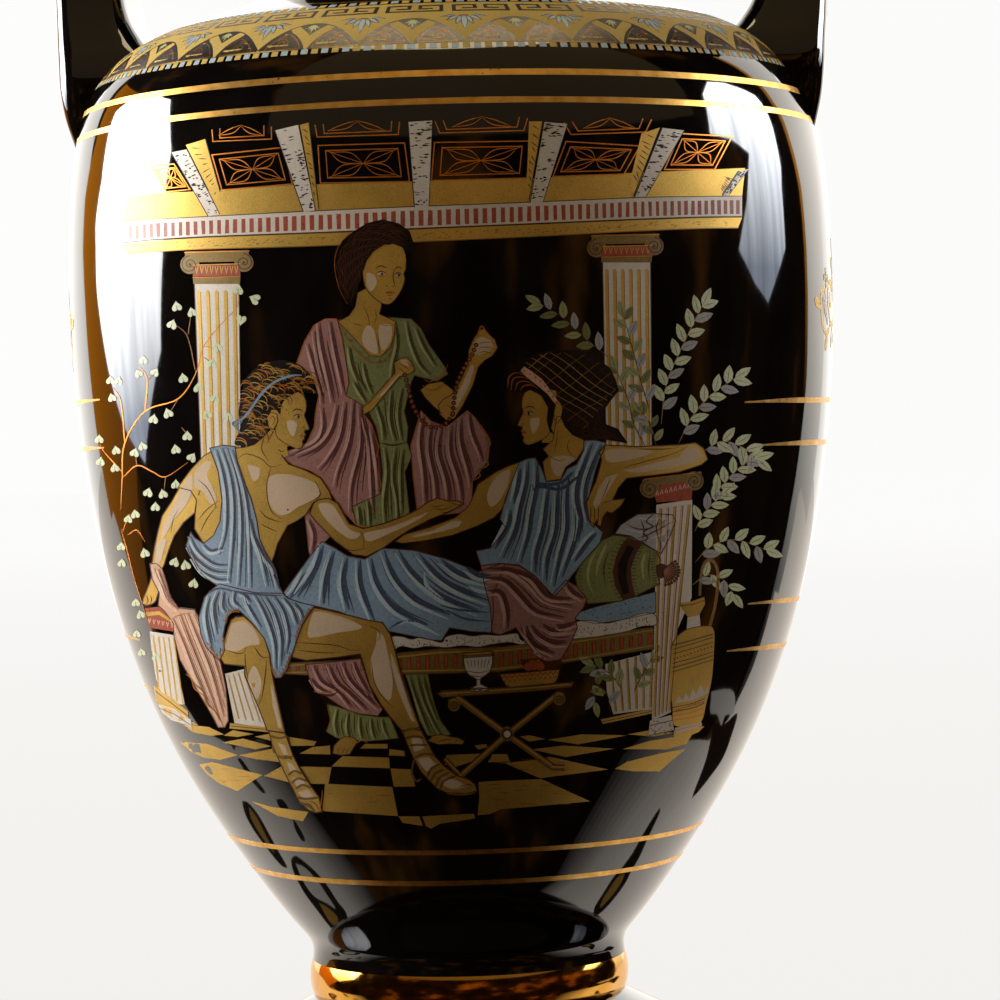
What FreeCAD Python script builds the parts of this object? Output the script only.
# Footed neck amphora in glazed porcelain, built from the separately formed
# clay pieces that are luted together: belly, neck, mouth ring, waist bead,
# foot and two strap handles.
#
# Frame: millimetres, +Z up, origin on the resting plane at the vessel's axis.
# The handles stand on the X axis and the painted front faces -Y.
import FreeCAD, Part
import os
import math
import Sketcher

App = FreeCAD
V = App.Vector
doc = App.newDocument("amphora")

# ---------------------------------------------------------------- dimensions
sheet = doc.addObject("Spreadsheet::Sheet", "dims")
_row = [0]
VAL = {}


def cell(alias, value):
    """One driving number in the sheet, under a word alias."""
    _row[0] += 1
    a = "A%d" % _row[0]
    sheet.set(a, repr(float(value)))
    sheet.setAlias(a, alias)
    VAL[alias] = float(value)
    return alias


# levels and radii of the joints between the pieces
cell("bead_low_level", 37.7)      # foot shoulder that carries the waist bead
cell("bead_top_level", 46.7)      # flat underside of the belly
cell("bead_low_radius", 37.1)
cell("bead_top_radius", 37.3)
cell("bead_curve", 11.7)          # radius of the bead's convex face
cell("spigot_radius", 25.5)       # foot's spigot inside the waist bead
cell("floor_level", 54.6)         # inside floor of the belly
cell("floor_radius", 26.0)
cell("collar_radius", 47.0)       # top opening of the belly, outer rebate
cell("collar_level", 272.2)
cell("rebate_level", 268.2)
cell("tenon_radius", 43.5)        # neck's tenon through the belly's opening
cell("tenon_level", 264.5)
cell("throat_radius", 33.0)
cell("throat_low_level", 290.0)
cell("throat_top_level", 322.0)
cell("neck_top_level", 338.0)
cell("neck_top_radius", 46.5)
cell("neck_top_bore", 35.5)
cell("neck_low_bore", 38.0)

# belly, outer wall: control points of the profile, radius and level
OUT = [(37.3, 46.7), (37.15, 47.74), (36.84, 50.76), (42.18, 56.58), (53.07, 71.39),
       (70.28, 97.42), (83.87, 136.37), (89.98, 176.71), (90.77, 211.08), (89.15, 235.24),
       (85.6, 251.39), (76.68, 261.29), (63.38, 267.15), (53.09, 270.12), (47.0, 272.2)]
OUT_K = [0.01268, 0.0312, 0.08864, 0.22396, 0.38679, 0.55707, 0.6908, 0.77897, 0.83538, 0.87669, 0.92638]
# belly, inner wall, 5 mm inside the outer one
INN = [(26.0, 54.6), (28.44, 54.6), (35.45, 56.97), (47.08, 71.75), (64.43, 97.38),
       (78.59, 136.24), (84.75, 176.73), (85.58, 211.09), (83.99, 234.5), (80.02, 252.2),
       (64.32, 262.74), (51.13, 263.72), (43.5, 264.5)]
INN_K = [0.02866, 0.08225, 0.22229, 0.39052, 0.56567, 0.70312, 0.79381, 0.84357, 0.91036]
# neck, outer wall from the belly to the mouth ring
NECK = [(47.0, 272.2), (44.2, 273.3), (40.8, 277.5), (38.2, 288.0), (37.6, 304.0),
        (38.4, 322.0), (42.2, 332.5), (46.5, 338.0)]
NECK_K = [0.15, 0.32, 0.55, 0.8]
# foot, bell-shaped outer face from the waist bead to the base moulding
FOOT = [(37.1, 37.7), (40.2, 35.7), (49.5, 31.6), (57.8, 26.2), (59.6, 18.5), (60.0, 13.0)]
FOOT_K = [0.33, 0.66]

LET = "abcdefghijklmnopqrstuvwxyz"


def pole_cells(prefix, pts):
    names = []
    for i, (r, z) in enumerate(pts):
        names.append((cell("%s_rad_%s" % (prefix, LET[i]), r), cell("%s_lev_%s" % (prefix, LET[i]), z)))
    return names


belly_out = pole_cells("bellyout", OUT)
belly_inn = pole_cells("bellyinn", INN)
neck_out = pole_cells("neckout", NECK)
foot_out = pole_cells("footout", FOOT)

# foot, base moulding and cavity
cell("base_ledge_radius", 62.6)
cell("base_ledge_level", 12.0)
cell("base_curve", 7.5)
cell("base_radius", 62.6)
cell("ring_inner_radius", 54.5)   # inside edge of the resting ring
cell("cav_a_rad", 52.8)
cell("cav_a_lev", 2.2)
cell("cav_b_rad", 50.0)
cell("cav_b_lev", 14.0)
cell("cav_c_rad", 42.5)
cell("cav_c_lev", 24.0)
cell("cav_d_rad", 30.0)
cell("cav_d_lev", 30.0)
cell("cav_e_rad", 19.5)
cell("cav_e_lev", 33.0)
cell("cav_f_rad", 18.0)
cell("cav_f_lev", 35.0)
cell("cav_top_level", 41.7)

# mouth ring
cell("lip_flare_curve", 14.0)
cell("lip_low_radius", 57.0)
cell("lip_low_level", 346.2)
cell("lip_edge_curve", 2.9)
cell("lip_top_radius", 56.2)
cell("lip_top_level", 351.6)
cell("lip_flat_radius", 50.5)
cell("lip_flat_level", 352.0)
cell("lip_dish_curve", 22.0)
cell("zero", 0.0)


# ------------------------------------------------------------- sketch helpers
def origin_plane(body, role):
    return [f for f in body.Origin.OriginFeatures if f.Role == role][0]


def new_sketch(body, name):
    sk = body.newObject("Sketcher::SketchObject", name)
    sk.AttachmentSupport = [(origin_plane(body, "XZ_Plane"), "")]
    sk.MapMode = "FlatFace"
    return sk


def pin(sk, geo, pos, rx, ry):
    """Holds one vertex at (radius, level), both read from the sheet."""
    for kind, alias in (("DistanceX", rx), ("DistanceY", ry)):
        v = VAL[alias]
        if abs(v) < 1e-9:
            if kind == "DistanceX":
                sk.addConstraint(Sketcher.Constraint("PointOnObject", geo, pos, -2))
            else:
                sk.addConstraint(Sketcher.Constraint("PointOnObject", geo, pos, -1))
            continue
        c = sk.addConstraint(Sketcher.Constraint(kind, -1, 1, geo, pos, v))
        sk.setExpression("Constraints[%d]" % c, "dims.%s" % alias)


def outline(sk, verts, segs, closed=True):
    """Closed half section: verts are (radius alias, level alias), segs the pieces between them."""
    n = len(verts)
    ids = []
    for i in range(n if closed else n - 1):
        a, b = verts[i], verts[(i + 1) % n]
        pa, pb = V(VAL[a[0]], VAL[a[1]], 0), V(VAL[b[0]], VAL[b[1]], 0)
        seg = segs[i]
        if seg[0] == "line":
            g = sk.addGeometry(Part.LineSegment(pa, pb), False)
            ids.append((g, 1, 2))
        elif seg[0] == "arc":
            # side +1 puts the bulge to the right of a -> b
            rad, side = VAL[seg[1]], seg[2]
            mid = (pa + pb) * 0.5
            d = pb - pa
            half = d.Length / 2
            nrm = V(d.y, -d.x, 0).normalize() * side
            hgt = math.sqrt(max(rad * rad - half * half, 0.0))
            cen = mid - nrm * hgt
            top = cen + nrm * rad
            arc = Part.Arc(pa, top, pb).toShape().Curve
            a0 = math.atan2(pa.y - cen.y, pa.x - cen.x)
            a1 = math.atan2(pb.y - cen.y, pb.x - cen.x)
            at = math.atan2(top.y - cen.y, top.x - cen.x)
            circ = Part.Circle(cen, V(0, 0, 1), rad)
            ccw = ((at - a0) % (2 * math.pi)) < ((a1 - a0) % (2 * math.pi))
            if ccw:
                g = sk.addGeometry(Part.ArcOfCircle(circ, a0, a1), False)
                ids.append((g, 1, 2))
            else:
                g = sk.addGeometry(Part.ArcOfCircle(circ, a1, a0), False)
                ids.append((g, 2, 1))
            c = sk.addConstraint(Sketcher.Constraint("Radius", g, rad))
            sk.setExpression("Constraints[%d]" % c, "dims.%s" % seg[1])
        elif seg[0] == "spline":
            names, inner = seg[1], seg[2]
            rev = seg[3]
            pts = [V(VAL[r], VAL[z], 0) for r, z in names]
            knots = [0.0] + list(inner) + [1.0]
            mults = [4] + [1] * len(inner) + [4]
            curve = Part.BSplineCurve()
            curve.buildFromPolesMultsKnots(pts, mults, knots, False, 3)
            g = sk.addGeometry(curve, False)
            for k, (r, z) in enumerate(names):
                if k in (0, len(names) - 1):
                    continue
                cg = sk.addGeometry(Part.Circle(pts[k], V(0, 0, 1), 1.0), True)
                sk.addConstraint(Sketcher.Constraint("Weight", cg, 1.0))
                sk.addConstraint(Sketcher.Constraint("InternalAlignment:Sketcher::BSplineControlPoint", cg, 3, g, k))
                pin(sk, cg, 3, r, z)
            ids.append((g, 2, 1) if rev else (g, 1, 2))
    m = len(ids)
    for i in range(m):
        if closed or i < m - 1:
            j = (i + 1) % m
            sk.addConstraint(Sketcher.Constraint("Coincident", ids[i][0], ids[i][2], ids[j][0], ids[j][1]))
    for i in range(m):
        pin(sk, ids[i][0], ids[i][1], verts[i][0], verts[i][1])
    return ids


def turned(label, verts, segs):
    """A piece thrown on the wheel: its half section turned about the vessel's axis."""
    body = doc.addObject("PartDesign::Body", label)
    body.Label = label
    sk = new_sketch(body, label + "_section")
    outline(sk, verts, segs)
    doc.recompute()
    rev = body.newObject("PartDesign::Revolution", label + "_turned")
    rev.Profile = sk
    rev.ReferenceAxis = (sk, ["V_Axis"])
    rev.Angle = 360.0
    body.Tip = rev
    doc.recompute()
    return body


L = ("line",)

belly = turned("belly", [
    ("zero", "bead_top_level"),
    ("bead_top_radius", "bead_top_level"),
    ("collar_radius", "collar_level"),
    ("collar_radius", "rebate_level"),
    ("tenon_radius", "rebate_level"),
    ("tenon_radius", "tenon_level"),
    ("floor_radius", "floor_level"),
    ("zero", "floor_level")],
    [L, ("spline", belly_out, OUT_K, False), L, L, L, ("spline", belly_inn, INN_K, True), L, L])

neck = turned("neck", [
    ("neck_low_bore", "tenon_level"),
    ("tenon_radius", "tenon_level"),
    ("tenon_radius", "rebate_level"),
    ("collar_radius", "rebate_level"),
    ("collar_radius", "collar_level"),
    ("neck_top_radius", "neck_top_level"),
    ("neck_top_bore", "neck_top_level"),
    ("throat_radius", "throat_top_level"),
    ("throat_radius", "throat_low_level")],
    [L, L, L, L, ("spline", neck_out, NECK_K, False), L, L, L, L])

mouth_ring = turned("mouth_ring", [
    ("neck_top_bore", "neck_top_level"),
    ("neck_top_radius", "neck_top_level"),
    ("lip_low_radius", "lip_low_level"),
    ("lip_top_radius", "lip_top_level"),
    ("lip_flat_radius", "lip_flat_level")],
    [L, ("arc", "lip_flare_curve", -1), ("arc", "lip_edge_curve", 1), L, ("arc", "lip_dish_curve", -1)])

waist_bead = turned("waist_bead", [
    ("spigot_radius", "bead_low_level"),
    ("bead_low_radius", "bead_low_level"),
    ("bead_top_radius", "bead_top_level"),
    ("spigot_radius", "bead_top_level")],
    [L, ("arc", "bead_curve", 1), L, L])

foot = turned("foot", [
    ("zero", "cav_top_level"),
    ("cav_f_rad", "cav_top_level"),
    ("cav_f_rad", "cav_f_lev"),
    ("cav_e_rad", "cav_e_lev"),
    ("cav_d_rad", "cav_d_lev"),
    ("cav_c_rad", "cav_c_lev"),
    ("cav_b_rad", "cav_b_lev"),
    ("cav_a_rad", "cav_a_lev"),
    ("ring_inner_radius", "zero"),
    ("base_radius", "zero"),
    ("base_ledge_radius", "base_ledge_level"),
    ("footout_rad_f", "footout_lev_f"),
    ("bead_low_radius", "bead_low_level"),
    ("spigot_radius", "bead_low_level"),
    ("spigot_radius", "bead_top_level"),
    ("zero", "bead_top_level")],
    [L, L, L, L, L, L, L, L, L, ("arc", "base_curve", 1), L, ("spline", foot_out, FOOT_K, True), L, L, L, L])

# ------------------------------------------------------------------- handles
# Strap handle: rounded-rectangle sections along a centre line that rises from
# the outer shoulder, leans a little outwards and turns in to the neck.
# Each row: (centre x, centre z, tilt of the section in degrees, thickness, width, corner)
SECT = [
    (78.8, 240.0, 0.0, 16.6, 34.0, 4.5),
    (77.6, 247.0, 0.0, 22.2, 43.0, 5.5),
    (76.9, 254.0, 0.0, 25.2, 47.0, 6.0),
    (77.9, 260.0, 0.0, 24.0, 45.0, 6.0),
    (80.2, 265.0, 0.0, 20.2, 41.0, 5.5),
    (82.0, 270.5, 0.0, 17.2, 37.0, 5.0),
    (83.1, 278.0, 0.0, 15.8, 34.0, 4.8),
    (84.2, 290.0, 0.0, 15.2, 32.0, 4.6),
    (84.6, 303.0, 0.0, 14.6, 31.0, 4.4),
    (82.8, 314.2, 22.0, 14.0, 30.4, 4.2),
    (76.6, 323.8, 45.0, 13.2, 30.0, 4.0),
    (67.4, 328.6, 68.0, 12.4, 30.0, 3.8),
    (56.5, 330.0, 88.0, 12.0, 30.6, 3.6),
    (46.0, 329.4, 95.0, 12.6, 32.0, 3.6),
    (35.5, 328.4, 95.0, 14.0, 34.0, 3.6),
]


def strap_section(i, x, z, tilt, thick, width, corner):
    """A rounded rectangle, thickness along the sketch's x and width along its y."""
    k = LET[i]
    ct, cw, cr = cell("strap_thick_%s" % k, thick), cell("strap_width_%s" % k, width), cell("strap_corner_%s" % k, corner)
    cx, cz, ca = cell("strap_out_%s" % k, -x), cell("strap_lev_%s" % k, z), cell("strap_tilt_%s" % k, tilt)
    sk = doc.addObject("Sketcher::SketchObject", "strap_section_%s" % k)
    hx, hy, r = thick / 2, width / 2, corner
    p = [V(-hx + r, -hy, 0), V(hx - r, -hy, 0), V(hx, -hy + r, 0), V(hx, hy - r, 0),
         V(hx - r, hy, 0), V(-hx + r, hy, 0), V(-hx, hy - r, 0), V(-hx, -hy + r, 0)]
    cen = [V(hx - r, -hy + r, 0), V(hx - r, hy - r, 0), V(-hx + r, hy - r, 0), V(-hx + r, -hy + r, 0)]
    lines = [sk.addGeometry(Part.LineSegment(p[2 * j], p[2 * j + 1]), False) for j in range(4)]
    arcs = [sk.addGeometry(Part.ArcOfCircle(Part.Circle(cen[j], V(0, 0, 1), r),
                                            -math.pi / 2 + j * math.pi / 2, j * math.pi / 2), False) for j in range(4)]
    con = lambda *a: sk.addConstraint(Sketcher.Constraint(*a))
    for j in range(4):
        con("Tangent", lines[j], 2, arcs[j], 1)
        con("Tangent", arcs[j], 2, lines[(j + 1) % 4], 1)
    con("Horizontal", lines[0])
    con("Vertical", lines[1])
    con("Horizontal", lines[2])
    con("Vertical", lines[3])
    con("Equal", arcs[0], arcs[1])
    con("Equal", arcs[1], arcs[2])
    con("Equal", arcs[2], arcs[3])
    c = con("Radius", arcs[0], r)
    sk.setExpression("Constraints[%d]" % c, "dims.%s" % cr)
    c = con("DistanceX", lines[3], 1, lines[1], 1, 2 * hx)
    sk.setExpression("Constraints[%d]" % c, "dims.%s" % ct)
    c = con("DistanceY", lines[0], 1, lines[2], 1, 2 * hy)
    sk.setExpression("Constraints[%d]" % c, "dims.%s" % cw)
    c = con("DistanceX", -1, 1, lines[1], 1, hx)
    sk.setExpression("Constraints[%d]" % c, "dims.%s / 2" % ct)
    c = con("DistanceY", -1, 1, lines[2], 1, hy)
    sk.setExpression("Constraints[%d]" % c, "dims.%s / 2" % cw)
    sk.Placement = App.Placement(V(-x, 0, z), App.Rotation(V(0, 1, 0), tilt))
    sk.setExpression("Placement.Base.x", "dims.%s" % cx)
    sk.setExpression("Placement.Base.z", "dims.%s" % cz)
    sk.setExpression("Placement.Rotation.Angle", "dims.%s" % ca)
    return sk


sections = [strap_section(i, *s) for i, s in enumerate(SECT)]
doc.recompute()
strap = doc.addObject("Part::Loft", "strap")
strap.Sections = sections
strap.Solid = True
strap.Ruled = False
doc.recompute()


def solid_envelope(name, pts_out):
    """A plug of the given outer profile, used to scribe the handle's ends to the vessel."""
    verts, segs = pts_out
    return turned(name, verts, segs)


belly_plug = solid_envelope("belly_plug", ([
    ("zero", "bead_top_level"),
    ("bead_top_radius", "bead_top_level"),
    ("collar_radius", "collar_level"),
    ("zero", "collar_level")],
    [L, ("spline", belly_out, OUT_K, False), L, L]))
neck_plug = solid_envelope("neck_plug", ([
    ("zero", "collar_level"),
    ("collar_radius", "collar_level"),
    ("neck_top_radius", "neck_top_level"),
    ("zero", "neck_top_level")],
    [L, ("spline", neck_out, NECK_K, False), L, L]))

cut_a = doc.addObject("Part::Cut", "strap_on_belly")
cut_a.Base = strap
cut_a.Tool = belly_plug
doc.recompute()
handle_left = doc.addObject("Part::Cut", "handle_left")
handle_left.Base = cut_a
handle_left.Tool = neck_plug
handle_left.Label = "handle_left"
doc.recompute()
handle_right = doc.addObject("Part::Mirroring", "handle_right")
handle_right.Source = handle_left
handle_right.Normal = V(1, 0, 0)
handle_right.Base = V(0, 0, 0)
handle_right.Label = "handle_right"
doc.recompute()

# ---------------------------------------------------------------- write parts
for o in doc.Objects:
    bad = [st for st in o.State if st in ("Invalid", "Error")]
    if bad:
        raise SystemExit("%s is %s" % (o.Name, bad))

pieces = [foot, waist_bead, belly, neck, mouth_ring, handle_left, handle_right]
os.makedirs("parts", exist_ok=True)
for o in pieces:
    s = o.Shape
    if s.isNull() or not s.isValid():
        raise SystemExit("%s has no valid shape" % o.Label)
    if len(s.Solids) != 1:
        raise SystemExit("%s has %d solids" % (o.Label, len(s.Solids)))
    bb = s.BoundBox
    print("%-13s volume %9.1f mm3  x %.1f..%.1f  y %.1f..%.1f  z %.1f..%.1f" % (
        o.Label, s.Volume, bb.XMin, bb.XMax, bb.YMin, bb.YMax, bb.ZMin, bb.ZMax))
    s.exportStep(os.path.join("parts", o.Label + ".step"))
